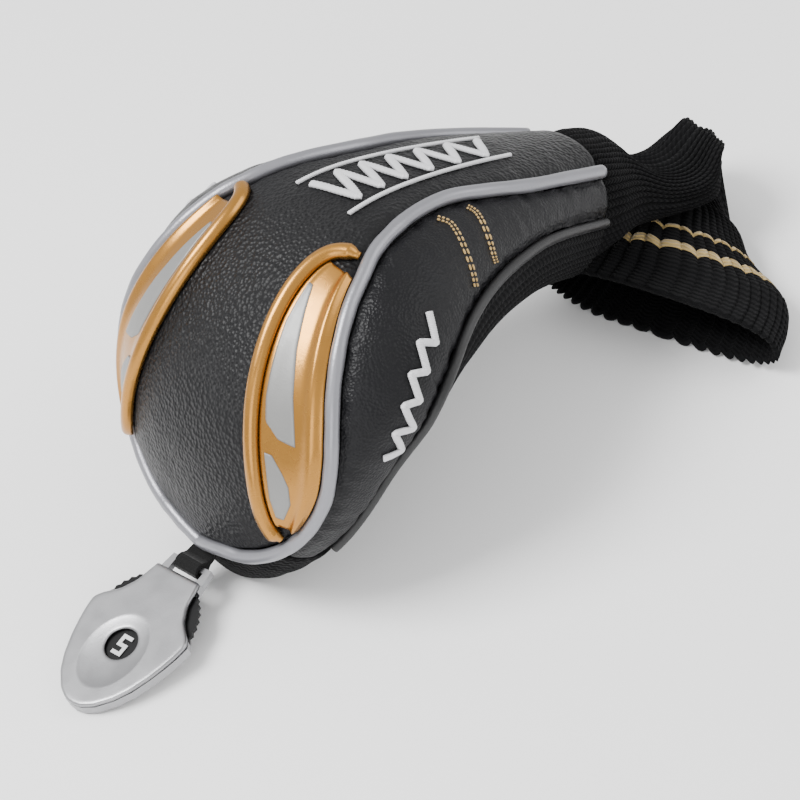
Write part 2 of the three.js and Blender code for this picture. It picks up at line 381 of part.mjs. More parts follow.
const block = (x0, x1, y0, y1, z0, z1) => { const b = new THREE.BoxGeometry(x1 - x0, y1 - y0, z1 - z0); b.translate((x0 + x1) / 2, (y0 + y1) / 2, (z0 + z1) / 2); return b; };
{
  // face plate with its window and an egg-shaped dish round it
  const face = plate(0, [], TAG_FACE_Z, TAG_FACE_Z + TAG_FACE_T);
  const dish = new THREE.SphereGeometry(1, 20, 10); dish.scale(11.2, 14.2, 6.0); dish.translate(0, -35.3, TAG_FACE_Z + TAG_FACE_T + 5.1);
  const well = new THREE.CylinderGeometry(WINDOW_R, WINDOW_R, 8, 20); well.rotateX(Math.PI / 2); well.translate(0, WINDOW_Y, TAG_FACE_Z);
  put('tag_face_plate', cut(face, dish, well, block(-12, 12, -2.6, 6, -5, 9)), satin, tag);
  // tray: floor, a rim that stops short of the waist where the dial's edge stands out, and the strap bar
  const floor = plate(0, [], TRAY_FLOOR[0], TRAY_FLOOR[1]);
  const wall = plate(0, [], TRAY_FLOOR[1] - 0.2, TAG_FACE_Z - 0.3);
  const bore = new THREE.CylinderGeometry(DIAL_R + 0.45, DIAL_R + 0.45, 9, 40); bore.rotateX(Math.PI / 2); bore.translate(0, DIAL_Y, 3.3);
  const hollow = plate(1.5, [], TRAY_FLOOR[1], TAG_FACE_Z + 1);
  const rim = solid(wall).subtract(solid(bore)).subtract(solid(hollow));
  const head = solid(plate(0, [], TRAY_FLOOR[0], 0.3)).subtract(solid(block(-30, 30, -70, -2.2, -9, 9)));
  const tray = solid(floor).add(rim).subtract(solid(block(-12, 12, -2.3, 6, -0.9, 9))).add(head)
    .subtract(solid(block(-6.3, 6.3, -2.6, 1.6, -9, 9))).subtract(solid(block(-6.3, 6.3, 1.4, 6, -9, -1.5)));
  const k = tray.decompose().sort((a, b) => b.volume() - a.volume())[0];
  put('tag_tray', unsolid(k), satin, tag);
  // rivet near the tip, between face and tray
  const rivet = new THREE.CylinderGeometry(0.8, 0.8, TAG_FACE_Z - 0.3 - TRAY_FLOOR[1] - 0.3, 8); rivet.rotateX(Math.PI / 2); rivet.translate(0, -50.0, (TAG_FACE_Z - 0.3 + TRAY_FLOOR[1] + 0.3) / 2);
  put('tag_rivet', rivet, steel, tag);
  const pin = new THREE.CylinderGeometry(PIN_R, PIN_R, 1.85, 12); pin.rotateX(Math.PI / 2); pin.translate(0, DIAL_Y, 0.025);
  put('dial_pivot', pin, steel, tag);
}
// number dial, knurled at its edge, with the numbers 3 4 5 7 9 raised on it
{
  const g = new THREE.Group(); g.position.set(0, DIAL_Y, 0); tag.add(g);
  const pts = []; for (let i = 0; i < DIAL_TEETH * 2; i++) { const a = Math.PI * i / DIAL_TEETH, r = i % 2 ? DIAL_R : DIAL_R - 0.7; pts.push(new THREE.Vector2(r * Math.cos(a), r * Math.sin(a))); }
  const sh = new THREE.Shape(pts); sh.holes.push(disc(0, 0, PIN_R + 0.35));
  const d = new THREE.ExtrudeGeometry(sh, { depth: DIAL_Z[1] - DIAL_Z[0], bevelEnabled: false, curveSegments: 6 }); d.translate(0, 0, DIAL_Z[0]);
  put('number_dial', d, dialBlack, g);
  const W = NUMERAL_H * 0.56, H = NUMERAL_H, T = 1.3, box = (x0, y0, x1, y1) => [x0, y0, x1, y1];
  const seg = { top: box(0, H - T, W, H), mid: box(0, (H - T) / 2, W, (H + T) / 2), low: box(0, 0, W, T), tl: box(0, H / 2, T, H), tr: box(W - T, H / 2, W, H), bl: box(0, 0, T, H / 2), br: box(W - T, 0, W, H / 2) };
  const digits = { 5: ['top', 'tl', 'mid', 'br', 'low'], 7: ['top', 'tr', 'br'], 9: ['top', 'tl', 'tr', 'mid', 'br', 'low'], 3: ['top', 'tr', 'mid', 'br', 'low'], 4: ['tl', 'mid', 'tr', 'br'] };
  Object.entries({ 5: 0, 7: 1, 9: 2, 3: 3, 4: 4 }).forEach(([n, k]) => {
    const boxes = digits[n].map(q => { const [x0, y0, x1, y1] = seg[q], b = new THREE.BoxGeometry(x1 - x0, y1 - y0, 0.25); b.translate((x0 + x1) / 2 - W / 2, (y0 + y1) / 2 - H / 2, 0.825); return b; });
    const m = put(`numeral_${n}`, unsolid(boxes.slice(1).reduce((s, b) => s.add(solid(b)), solid(boxes[0]))), thread, g);
    const a = k * 2 * Math.PI / 5;
    m.rotation.z = a; m.position.set(Math.sin(a) * NUMERAL_RADIUS, -Math.cos(a) * NUMERAL_RADIUS, 0);
  });
}

cover.position.set(-ORIGIN_X, -ORIGIN_Y, 0);
export default object;
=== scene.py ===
# A padded fairway-wood head cover: leather body, knit sock, number tag.
import bpy, math
import numpy as np
from mathutils import Matrix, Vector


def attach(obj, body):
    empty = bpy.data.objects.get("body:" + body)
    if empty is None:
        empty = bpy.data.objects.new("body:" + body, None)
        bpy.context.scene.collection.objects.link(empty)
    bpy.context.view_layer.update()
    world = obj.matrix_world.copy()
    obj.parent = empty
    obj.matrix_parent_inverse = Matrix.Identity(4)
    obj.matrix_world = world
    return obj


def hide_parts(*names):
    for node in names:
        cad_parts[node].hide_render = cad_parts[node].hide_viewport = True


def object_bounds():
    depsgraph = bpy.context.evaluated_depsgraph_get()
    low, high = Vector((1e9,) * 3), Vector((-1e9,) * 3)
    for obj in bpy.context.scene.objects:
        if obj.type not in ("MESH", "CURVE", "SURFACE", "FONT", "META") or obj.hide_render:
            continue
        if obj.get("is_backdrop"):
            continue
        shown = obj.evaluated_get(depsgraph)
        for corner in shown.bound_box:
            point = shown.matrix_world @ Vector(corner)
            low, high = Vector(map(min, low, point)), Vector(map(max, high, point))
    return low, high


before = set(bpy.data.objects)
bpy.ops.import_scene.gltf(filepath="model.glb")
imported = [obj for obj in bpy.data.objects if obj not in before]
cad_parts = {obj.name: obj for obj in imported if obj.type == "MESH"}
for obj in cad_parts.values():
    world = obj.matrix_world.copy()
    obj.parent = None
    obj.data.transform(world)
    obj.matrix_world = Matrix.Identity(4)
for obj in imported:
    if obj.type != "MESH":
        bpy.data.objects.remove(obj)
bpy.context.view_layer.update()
rng = np.random.default_rng(11)

# ------------------------------------------------------------------ the cover's skin, in mm
SPX = [-69.6, -66.1, -57.4, -36.6, -10.1, 28.0, 71.5]
SPZ = [-32.4, -4.3, 29.8, 53.5, 60.6, 60.7, 52.0]
HW = [30.5, 47.1, 59.0, 61.5, 51.7, 37.7, 24.2]
HD = [12.9, 20.5, 26.6, 31.1, 30.5, 25.3, 24.8]
ORIGIN = np.array([3.96, -9.81, 0.0])
TILT, RISE, NOSE_S = math.radians(15.0), 12.2, 0.157
PIPING_R, WELT_R, LEATHER, KNIT, FOAM = 2.3, 1.7, 1.5, 2.0, 3.6


def natural(ys):
    n, h = len(ys) - 1, 1.0 / (len(ys) - 1)
    A = np.eye(n + 1) * 4.0
    r = np.zeros(n + 1)
    A[0, 0] = A[n, n] = 1.0
    for i in range(1, n):
        A[i, i - 1] = A[i, i + 1] = 1.0
        r[i] = 6 * (ys[i + 1] - 2 * ys[i] + ys[i - 1]) / h ** 2
    m = np.linalg.solve(A, r)
    ys = np.array(ys)

    def f(s):
        i = np.clip(np.floor(s * n).astype(int), 0, n - 1)
        t = s - i * h
        u = h - t
        return (m[i] * u ** 3 + m[i + 1] * t ** 3) / (6 * h) + (ys[i] / h - m[i] * h / 6) * u + (ys[i + 1] / h - m[i + 1] * h / 6) * t
    return f


fx, fz, fa, fb = natural(SPX), natural(SPZ), natural(HW), natural(HD)
pw = lambda v, e: np.sign(v) * np.abs(v) ** e


def stance(x, y, z):
    c, s = math.cos(TILT), math.sin(TILT)
    return np.stack([x * c + z * s, y, -x * s + z * c + RISE], -1) - ORIGIN


def skin(s, th):
    e, q = 1e-4, 2 / 2.25
    tx = fx(np.minimum(s + e, 1)) - fx(np.maximum(s - e, 0))
    tz = fz(np.minimum(s + e, 1)) - fz(np.maximum(s - e, 0))
    l = np.hypot(tx, tz)
    t = np.clip(1 - s / 0.30, 0, 1)
    cl = np.maximum(1 - t ** 2.3, 0) ** (1 / 2.3)
    b, a = fb(s) * cl * pw(np.cos(th), q), fa(s) * cl * pw(np.sin(th), q)
    return stance(fx(s) - tz / l * b, -a, fz(s) + tx / l * b)


def frames(s, th):
    h = 2e-3
    s1, s0 = np.minimum(s + h, 1), np.maximum(s - h, 1e-6)
    us = (skin(s1, th) - skin(s0, th)) / (s1 - s0)[..., None]
    ut = (skin(s, th + h) - skin(s, th - h)) / (2 * h)
    n = np.cross(us, ut)
    n /= np.linalg.norm(n, axis=-1, keepdims=True) + 1e-12
    mid = stance(fx(s), 0 * s, fz(s))
    sg = np.sign(np.sum(n * (skin(s, th) - mid), -1))
    return us, ut, n * np.where(sg == 0, 1, sg)[..., None]


def at(s, th, off, rest=False):
    s, th = np.broadcast_arrays(np.asarray(s, float), np.asarray(th, float))
    s = np.maximum(s, 1e-5)
    off = np.broadcast_to(np.asarray(off, float), s.shape)
    p = skin(s, th) + frames(s, th)[2] * off[..., None]
    if rest:
        p[..., 2] = np.maximum(p[..., 2], -off - 0.1 if rest is True else rest)
    return p


def line(pts, n):
    P = np.array([[s * 4, t] for s, t in pts], float)
    P = np.vstack([2 * P[0] - P[1], P, 2 * P[-1] - P[-2]])
    out = []
    for u in np.linspace(0, len(pts) - 1, n + 1):
        i = min(int(u), len(pts) - 2)
        w = u - i
        p = P[i:i + 4]
        k = [0.0]
        for a, b in zip(p[:-1], p[1:]):
            k.append(k[-1] + max(np.linalg.norm(b - a), 1e-6) ** 0.5)
        t = k[1] + w * (k[2] - k[1])
        L = lambda A, B, x, y: ((y - t) * A + (t - x) * B) / (y - x)
        a1, a2, a3 = L(p[0], p[1], k[0], k[1]), L(p[1], p[2], k[1], k[2]), L(p[2], p[3], k[2], k[3])
        out.append(L(L(a1, a2, k[0], k[2]), L(a2, a3, k[1], k[3]), k[1], k[2]))
    out = np.array(out)
    out[:, 0] /= 4
    return out


mirror = lambda l: np.asarray(l) * np.array([1, -1.0])
fn = lambda pts: (lambda p: (lambda s: np.interp(s, p[:, 0], p[:, 1])))(np.array(sorted(map(tuple, pts), key=lambda q: q[0])))


def tangents(P):
    t = np.gradient(P, axis=0)
    return t / (np.linalg.norm(t, axis=1, keepdims=True) + 1e-12)


def nudge(l, side, g):
    l = np.asarray(l)
    us, ut, n = frames(l[:, 0], l[:, 1])
    m = np.cross(tangents(skin(l[:, 0], l[:, 1])), n)
    m *= side * g / (np.linalg.norm(m, axis=1, keepdims=True) + 1e-12)
    d = lambda a, b: np.sum(a * b, 1)
    aa, ab, bb, p, q = d(us, us), d(us, ut), d(ut, ut), d(m, us), d(m, ut)
    det = aa * bb - ab * ab
    return np.stack([np.clip(l[:, 0] + (p * bb - q * ab) / det, 1e-4, 1), l[:, 1] + (q * aa - p * ab) / det], 1)


PIPE = [[0.088, 0.0], [0.098, 0.16], [0.112, 0.36], [0.126, 0.62], [0.158, 0.88], [0.198, 1.06], [0.239, 1.15], [0.285, 1.17], [0.33, 1.095],
        [0.364, 0.998], [0.414, 0.84], [0.464, 0.71], [0.505, 0.624], [0.534, 0.577], [0.57, 0.512], [0.612, 0.477], [0.661, 0.454], [0.734, 0.46],
        [0.793, 0.55], [0.855, 0.655], [0.929, 0.715], [0.992, 0.76]]
WELT = [[0.115, 1.25], [0.15, 1.62], [0.20, 1.84], [0.27, 1.97], [0.36, 2.0], [0.425, 1.93], [0.482, 1.78], [0.573, 1.609], [0.656, 1.458],
        [0.728, 1.385], [0.804, 1.358], [0.858, 1.36], [0.953, 1.44], [0.992, 1.47]]
ROLL = [[0.552, 0.475], [0.547, 0.40], [0.535, 0.335], [0.518, 0.30], [0.498, 0.286], [0.475, 0.286], [0.44, 0.305], [0.40, 0.345],
        [0.365, 0.395], [0.33, 0.46], [0.29, 0.545], [0.255, 0.63], [0.228, 0.725], [0.212, 0.82], [0.204, 0.92]]

# ------------------------------------------------------------------ meshes


def mk(name, V, F, mat, body="root", repl=(), uv=None, smooth=True, slot=None):
    V = np.asarray(V, float) / 1000.0
    vol = 0.0
    for f in F:
        f = np.asarray(f)
        for k in range(1, f.shape[1] - 1):
            vol += np.sum(V[f[:, 0]] * np.cross(V[f[:, k]], V[f[:, k + 1]]))
    faces = [q for f in F for q in (np.asarray(f)[:, ::-1] if vol < 0 else np.asarray(f)).tolist()]
    me = bpy.data.meshes.new(name)
    me.from_pydata(V.tolist(), [], faces)
    if uv is not None:
        lay = me.uv_layers.new(name="UVMap")
        idx = np.zeros(len(me.loops), np.int32)
        me.loops.foreach_get("vertex_index", idx)
        lay.data.foreach_set("uv", np.asarray(uv, np.float32)[idx].ravel())
    me.polygons.foreach_set("use_smooth", [smooth] * len(me.polygons))
    me.materials.append(mat)
    me.update()
    o = bpy.data.objects.new(name, me)
    bpy.context.scene.collection.objects.link(o)
    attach(o, body)
    if repl:
        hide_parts(*repl)
    return o


def grid(name, O, I, U, Vv, mat, closed=False, **kw):
    """A sheet with thickness: O and I are rows of points on its two faces."""
    R, C = O.shape[:2]
    n = C if closed else C - 1
    i, j = np.meshgrid(np.arange(R - 1), np.arange(n), indexing="ij")
    i, j = i.ravel(), j.ravel()
    o = lambda a, b: a * C + b % C
    q = lambda a, b: R * C + o(a, b)
    F = [np.stack([o(i, j), o(i, j + 1), o(i + 1, j + 1), o(i + 1, j)], 1), np.stack([q(i, j), q(i + 1, j), q(i + 1, j + 1), q(i, j + 1)], 1)]
    j = np.arange(n)
    z = 0 * j
    F += [np.stack([o(z, j + 1), o(z, j), q(z, j), q(z, j + 1)], 1), np.stack([o(z + R - 1, j), o(z + R - 1, j + 1), q(z + R - 1, j + 1), q(z + R - 1, j)], 1)]
    if not closed:
        i = np.arange(R - 1)
        z = 0 * i
        F += [np.stack([o(i, z), o(i + 1, z), q(i + 1, z), q(i, z)], 1), np.stack([o(i + 1, z + C - 1), o(i, z + C - 1), q(i, z + C - 1), q(i + 1, z + C - 1)], 1)]
    uv = np.stack([U.ravel(), Vv.ravel()], 1)
    return mk(name, np.vstack([O.reshape(-1, 3), I.reshape(-1, 3)]), F, mat, uv=np.vstack([uv, uv]), **kw)


def sweep(C, M, N, prof, scale=None):
    P = np.asarray(prof, float)
    r = C[:, None] + M[:, None] * P[None, :, :1] + N[:, None] * P[None, :, 1:]
    if scale is not None:
        r = C[:, None] + (r - C[:, None]) * scale[:, None, None]
    R, K = r.shape[:2]
    i, j = np.meshgrid(np.arange(R - 1), np.arange(K), indexing="ij")
    i, j = i.ravel(), j.ravel()
    k = (j + 1) % K
    F = [np.stack([i * K + j, i * K + k, (i + 1) * K + k, (i + 1) * K + j], 1), np.arange(K)[None, ::-1], ((R - 1) * K + np.arange(K))[None]]
    arc = np.concatenate([[0], np.cumsum(np.linalg.norm(np.diff(C, axis=0), axis=1))])
    uv = np.stack([np.tile(np.arange(K) / K * 6.0, R), np.repeat(arc, K)], 1)
    return r.reshape(-1, 3), F, uv


def on_skin(l, lift):
    l = np.asarray(l)
    n = frames(l[:, 0], l[:, 1])[2]
    C = at(l[:, 0], l[:, 1], lift)
    t = tangents(C)
    m = np.cross(t, n)
    m /= np.linalg.norm(m, axis=1, keepdims=True)
    return C, m, n


def bead(name, l, prof, lift, mat, scale=None, **kw):
    C, m, n = on_skin(l, lift)
    V, F, uv = sweep(C, m, n, prof, scale)
    return mk(name, V, F, mat, uv=uv, **kw)


def many(name, parts, mat, **kw):
    V, F, U, k = [], {}, [], 0
    for v, f, u in parts:
        for a in f:
            F.setdefault(a.shape[1], []).append(a + k)
        V.append(v)
        U.append(u)
        k += len(v)
    return mk(name, np.vstack(V), [np.vstack(x) for x in F.values()], mat, uv=np.vstack(U), **kw)


ring = lambda r, n: [[r * math.cos(2 * math.pi * i / n), r * math.sin(2 * math.pi * i / n)] for i in range(n)]
dome = lambda w, h, n, p=1.0: [[w / 2 * math.cos(math.pi * i / n), h * math.sin(math.pi * i / n) ** p] for i in range(n + 1)]


def waves(x, y, k, seed, lo=6.0, hi=22.0):
    """Smooth uneven relief, about -1 to 1, from a few seeded waves."""
    g = np.random.default_rng(seed)
    out = 0
    for _ in range(k):
        a, w, ph = g.uniform(0, 2 * math.pi), g.uniform(lo, hi), g.uniform(0, 6.28)
        out = out + np.sin(2 * math.pi * (x * math.cos(a) + y * math.sin(a)) / w + ph)
    return out / k ** 0.5


# ------------------------------------------------------------------ materials


def material(name, col, rough, metal=0.0, grain=900.0, bump=0.25, depth=0.0003, var=0.18, mottle=30.0, pattern=None, sheen=0.0, coat=0.0, spec=0.5, kind="voronoi"):
    m = bpy.data.materials.new(name)
    m.use_nodes = True
    nt = m.node_tree
    N, L = nt.nodes, nt.links
    P = N["Principled BSDF"]
    P.inputs["Metallic"].default_value = metal
    P.inputs["Specular IOR Level"].default_value = spec
    P.inputs["Sheen Weight"].default_value = sheen
    P.inputs["Sheen Roughness"].default_value = 0.5
    P.inputs["Coat Weight"].default_value = coat
    P.inputs["Coat Roughness"].default_value = 0.25
    tc = N.new("ShaderNodeTexCoord")

    def noise(scale, detail=4.0):
        x = N.new("ShaderNodeTexNoise")
        x.inputs["Scale"].default_value = scale
        x.inputs["Detail"].default_value = detail
        L.new(tc.outputs["Object"], x.inputs["Vector"])
        return x.outputs["Fac"]

    def math_(op, a, b=None):
        x = N.new("ShaderNodeMath")
        x.operation = op
        for k, v in enumerate((a, b)):
            if v is None:
                continue
            if isinstance(v, (int, float)):
                x.inputs[k].default_value = v
            else:
                L.new(v, x.inputs[k])
        return x.outputs[0]
    ramp = N.new("ShaderNodeValToRGB")
    ramp.color_ramp.elements[0].position, ramp.color_ramp.elements[1].position = 0.3, 0.72
    c = np.array(col)
    ramp.color_ramp.elements[0].color = (*np.clip(c * (1 - var), 0, 1), 1)
    ramp.color_ramp.elements[1].color = (*np.clip(c * (1 + var), 0, 1), 1)
    tone_and_groove_shade = noise(mottle)
    if kind == "voronoi":
        v = N.new("ShaderNodeTexVoronoi")
        v.inputs["Scale"].default_value = grain
        L.new(tc.outputs["Object"], v.inputs["Vector"])
        h = v.outputs["Distance"]
    else:
        h = noise(grain, 6.0)
    h = math_("ADD", h, math_("MULTIPLY", noise(grain * 0.35), 0.5))
    if pattern:
        sep = N.new("ShaderNodeSeparateXYZ")
        L.new(tc.outputs["UV"], sep.inputs[0])
        U, W = sep.outputs[0], sep.outputs[1]
        if pattern == "knit":         # a V-shaped loop on each rib
            w = math_("ABSOLUTE", math_("SUBTRACT", math_("FRACT", U), 0.5))
            g = math_("SINE", math_("ADD", math_("MULTIPLY", W, 2 * math.pi / 1.9), math_("MULTIPLY", w, 7.0)))
        elif pattern == "satin":      # close parallel threads
            g = math_("SINE", math_("MULTIPLY", W, 2 * math.pi / 0.5))
        else:                         # webbing: close cross ribs with a twill
            g = math_("ADD", math_("SINE", math_("MULTIPLY", W, 2 * math.pi / 1.0)), math_("MULTIPLY", math_("SINE", math_("MULTIPLY", U, 2 * math.pi / 0.7)), 0.5))
        h = math_("ADD", math_("MULTIPLY", g, 0.5), math_("MULTIPLY", h, 0.35))
        # the pattern also darkens the colour in its grooves and lightens it on its crests: painted shade, on top of
        # the random tone
        tone_and_groove_shade = math_("ADD", math_("MULTIPLY", tone_and_groove_shade, 0.75), math_("MULTIPLY", g, 0.12))
    L.new(tone_and_groove_shade, ramp.inputs[0])
    L.new(ramp.outputs[0], P.inputs["Base Color"])
    mr = N.new("ShaderNodeMapRange")
    mr.inputs["To Min"].default_value = max(rough - 0.1, 0.05)
    mr.inputs["To Max"].default_value = min(rough + 0.1, 1.0)
    L.new(noise(mottle * 5), mr.inputs["Value"])
    L.new(mr.outputs[0], P.inputs["Roughness"])
    b = N.new("ShaderNodeBump")
    b.inputs["Strength"].default_value = bump
    b.inputs["Distance"].default_value = depth
    L.new(h, b.inputs["Height"])
    L.new(b.outputs[0], P.inputs["Normal"])
    return m


PEBBLE = material("pebbled_leather", (.0065, .0065, .0072), .42, grain=720, bump=.8, depth=.0006, spec=.18)
SIDE = material("side_leather", (.0055, .0055, .0065), .40, grain=1150, bump=.55, depth=.0004, spec=.18)
WELTM = material("welt_leather", (.005, .005, .0055), .48, grain=1500, bump=.3, depth=.0002)
SILVER = material("silver_piping", (.24, .24, .26), .36, metal=.6, grain=1500, bump=.18, depth=.0002, var=.07)
GOLD = material("gold_moulding", (.40, .185, .032), .27, metal=.85, grain=1400, bump=.10, depth=.0002, var=.08, coat=.2, kind="noise")
INLAY = material("silver_inlay", (.22, .22, .215), .42, metal=.4, grain=1800, bump=.2, depth=.0002, var=.07, kind="noise")
THREAD = material("pale_thread", (.66, .66, .68), .55, grain=2500, bump=.6, depth=.0003, var=.07, pattern="satin", sheen=.3, kind="noise")
GOLDTHREAD = material("gold_thread", (.42, .27, .09), .5, grain=2500, bump=.6, depth=.0002, var=.15, pattern="satin", sheen=.2, kind="noise")
YARN = material("gold_yarn", (.40, .28, .10), .8, grain=2600, bump=.8, depth=.0004, var=.25, pattern="knit", sheen=.3, kind="noise")
KNITM = material("black_knit", (.0055, .0055, .006), .88, grain=2600, bump=.9, depth=.0005, var=.35, pattern="knit", sheen=.015, spec=.08, kind="noise")
FOAMM = material("foam", (.10, .10, .11), .95, grain=1500, bump=.6, depth=.0005)
FLEECE = material("fleece", (.03, .03, .033), 1.0, grain=1300, bump=1.0, depth=.0008, sheen=.4, kind="noise")
ELASTIC = material("elastic", (.04, .04, .04), .8, pattern="webbing", grain=2000, bump=.6, depth=.0004, kind="noise")
WEB = material("webbing", (.004, .004, .004), .75, spec=.1, pattern="webbing", grain=2200, bump=.9, depth=.0005, var=.3, sheen=.15, kind="noise")
METAL = material("tag_metal", (.34, .34, .35), .36, metal=.95, grain=2600, bump=.22, depth=.00012, var=.06, kind="noise")
STEEL = material("pin_steel", (.45, .45, .45), .35, metal=1.0, grain=2500, bump=.1, depth=.0001, kind="noise")
DIAL = material("dial_plastic", (.005, .005, .0055), .45, spec=.2, grain=2200, bump=.15, depth=.0001, kind="noise")
NUMERAL = material("numeral_paint", (.62, .62, .63), .4, metal=.2, grain=2500, bump=.12, depth=.0001, var=.06, kind="noise")

# ------------------------------------------------------------------ camera and light
cam = bpy.data.objects.new("camera", bpy.data.cameras.new("camera"))
bpy.context.scene.collection.objects.link(cam)
cam.data.lens, cam.data.sensor_width, cam.data.clip_start, cam.data.clip_end = 104.85, 36.0, 0.01, 20
R_, U_, B_ = (0.73755, -0.64573, -0.19762), (0.55570, 0.41407, 0.72094), (-0.38370, -0.64154, 0.66422)
pos = tuple((np.array([-296.83, -500.23, 531.60]) - ORIGIN) / 1000)
cam.matrix_world = Matrix([[R_[k], U_[k], B_[k], pos[k]] for k in range(3)] + [[0, 0, 0, 1]])
bpy.context.scene.camera = cam


def lamp(name, where, aim, size, power):
    d = bpy.data.lights.new(name, "AREA")
    d.shape, d.size, d.energy = "SQUARE", size, power
    o = bpy.data.objects.new(name, d)
    bpy.context.scene.collection.objects.link(o)
    from mathutils import Vector
    o.location = where
    o.rotation_euler = (Vector(aim) - Vector(where)).to_track_quat("-Z", "Y").to_euler()


lamp("key", (-0.5, 0.25, 0.95), (-0.02, 0, 0.05), 0.5, 17.0)
lamp("fill", (0.75, -0.75, 0.7), (0, 0, 0.04), 0.9, 7.0)
lamp("front", (-0.9, -0.8, 0.45), (-0.05, 0, 0.04), 0.7, 4.5)
world = bpy.data.worlds.new("studio")
bpy.context.scene.world = world
world.use_nodes = True
world.node_tree.nodes["Background"].inputs[0].default_value = (1, 1, 1, 1)
world.node_tree.nodes["Background"].inputs[1].default_value = 1.1
fm = bpy.data.materials.new("floor")
fm.use_nodes = True
fm.node_tree.nodes["Principled BSDF"].inputs["Base Color"].default_value = (.93, .93, .93, 1)
fm.node_tree.nodes["Principled BSDF"].inputs["Roughness"].default_value = 0.8
me = bpy.data.meshes.new("floor")
me.from_pydata([(-4, -4, 0), (4, -4, 0), (4, 4, 0), (-4, 4, 0)], [], [(0, 1, 2, 3)])
me.materials.append(fm)
floor = bpy.data.objects.new("floor", me)
bpy.context.scene.collection.objects.link(floor)
floor.location.z = -0.0004
floor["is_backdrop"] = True

# ------------------------------------------------------------------ leather body
pipe = line(PIPE, 260)
welt = line(WELT, 220)
full = np.vstack([mirror(pipe)[::-1], pipe[1:]])
bead("piping", full, ring(PIPING_R, 18), 0.3, SILVER, scale=1 + 0.018 * waves(np.arange(len(full)) * 1.1, 0 * np.arange(len(full)), 4, 3, 9, 30), repl=("crown_piping",), slot="silver_piping")
edge = nudge(pipe, -1, PIPING_R + 0.15)
outer_edge = nudge(pipe, 1, PIPING_R + 0.15)
welt_in = nudge(welt, -1, WELT_R + 0.15)


def panel(name, A, B, nT, mat, thick, relief, repl, slot, base=0.0, floor_=False, sheet_flat=None, ribs=None):
    f = np.linspace(0, 1, nT + 1)[None, :]
    S, T = A[:, :1] * (1 - f) + B[:, :1] * f, A[:, 1:] * (1 - f) + B[:, 1:] * f
    P0 = at(S, T, base, rest=False)
    arc = np.concatenate([[0], np.cumsum(np.linalg.norm(np.diff(P0[:, nT // 2], axis=0), axis=1))])[:, None] + 0 * f
    wid = np.linalg.norm(np.diff(P0, axis=1), axis=2).sum(1)[:, None]
    X = f * wid
    D = relief(f + 0 * arc, X, wid, arc)
    O = at(S, T, base + D)
    I = at(S, T, base - thick + 0.0 * D + np.minimum(D, 0))
    low = 0.02
    O[..., 2] = np.maximum(O[..., 2], low)
    I[..., 2] = np.maximum(I[..., 2], low + thick * 0.8)
    U = (f * ribs + 0 * arc) if ribs else X + 0 * arc
    o = grid(name, O, I, U, arc, mat, repl=repl, slot=slot)
    return o


def crown_relief(f, X, wid, arc):
    d = np.minimum(f, 1 - f) * wid
    return -0.9 * np.exp(-(d / 2.4) ** 2) + 0.16 * np.exp(-d / 6) * waves(arc, 0 * arc, 5, 21, 5, 14) + 0.10 * waves(X - wid / 2, arc, 6, 8, 16, 45)


def side_relief(f, X, wid, arc):
    d0, d1 = f * wid, (1 - f) * wid
    pk = np.exp(-d0 / 7) * waves(arc, d0 * 0.4, 6, 33, 5.0, 12)
    return -0.9 * np.exp(-(np.minimum(d0, d1) / 2.4) ** 2) + 0.34 * pk + 0.22 * np.exp(-d1 / 6) * waves(arc, d1 * 0.3, 6, 35, 5, 12) + 0.14 * waves(X, arc, 6, 9, 15, 40)


e = edge[edge[:, 1] > 0.06]
panel("crown_leather", mirror(e), e, 110, PEBBLE, LEATHER - 0.2, crown_relief, ("crown_panel",), "pebbled_leather")
sub = lambda l, a, b, n: (lambda s: np.stack([s, fn(l)(s)], 1))(np.linspace(a, b, n))
top, low = sub(outer_edge[outer_edge[:, 0] > .13], NOSE_S + .004, .993, 240), sub(welt_in, NOSE_S + .004, .993, 240)
panel("side_leather_right", top, low, 70, SIDE, LEATHER - 0.2, side_relief, ("side_panel_right",), "side_leather")
panel("side_leather_left", mirror(top), mirror(low), 70, SIDE, LEATHER - 0.2, side_relief, ("side_panel_left",), "side_leather")
wl = welt[welt[:, 0] > NOSE_S + 0.012]
bead("welt_cord_right", wl, ring(WELT_R, 12), 0.1, WELTM, repl=("welt_right",), slot="black_welt")
bead("welt_cord_left", mirror(wl), ring(WELT_R, 12), 0.1, WELTM, repl=("welt_left",), slot="black_welt")

# padding, lining and elastic, inside
flat_ = lambda f, X, wid, arc: 0.12 * waves(X, arc, 4, 5, 8, 25)
ef = edge[(edge[:, 0] > .13) & (edge[:, 0] < .74)]
panel("crown_pad", mirror(ef), ef, 30, FOAMM, FOAM, flat_, ("crown_foam",), "foam", base=-LEATHER - 1.2)
ck = (top[:, 0] > .2) & (top[:, 0] < .74)
panel("side_pad_right", top[ck], low[ck], 20, FOAMM, FOAM, flat_, ("side_foam_right",), "foam", base=-LEATHER - 1.2)
panel("side_pad_left", mirror(top[ck]), mirror(low[ck]), 20, FOAMM, FOAM, flat_, ("side_foam_left",), "foam", base=-LEATHER - 1.2)


def bag(name, s, off, thick, mat, rel, repl, slot, C=96):
    th = np.linspace(0, 2 * math.pi, C, endpoint=False)[None, :]
    S, T = s[:, None] + 0 * th, th + 0 * s[:, None]
    D = rel * waves(T * 30, S * 140, 6, 14, 5, 12)
    O, I = at(S, T, off), at(S, T, off - thick + D)
    o = grid(name, O, I, T * 20, S * 180, mat, closed=True, repl=repl, slot=slot)


bag("lining", np.linspace(.13, .905, 90), -LEATHER - 1.1 - FOAM - 0.7, 1.2, FLEECE, 0.15, ("fleece_lining",), "fleece")
bag("elastic_band", np.linspace(.925, .985, 20), -2.7, 1.2, ELASTIC, 0.05, ("neck_elastic",), "elastic")

# knit gusset and nose
RIBS = 30


def rib(u, amp):
    return amp * (np.abs(np.sin(math.pi * u)) ** 0.6 - 0.75)


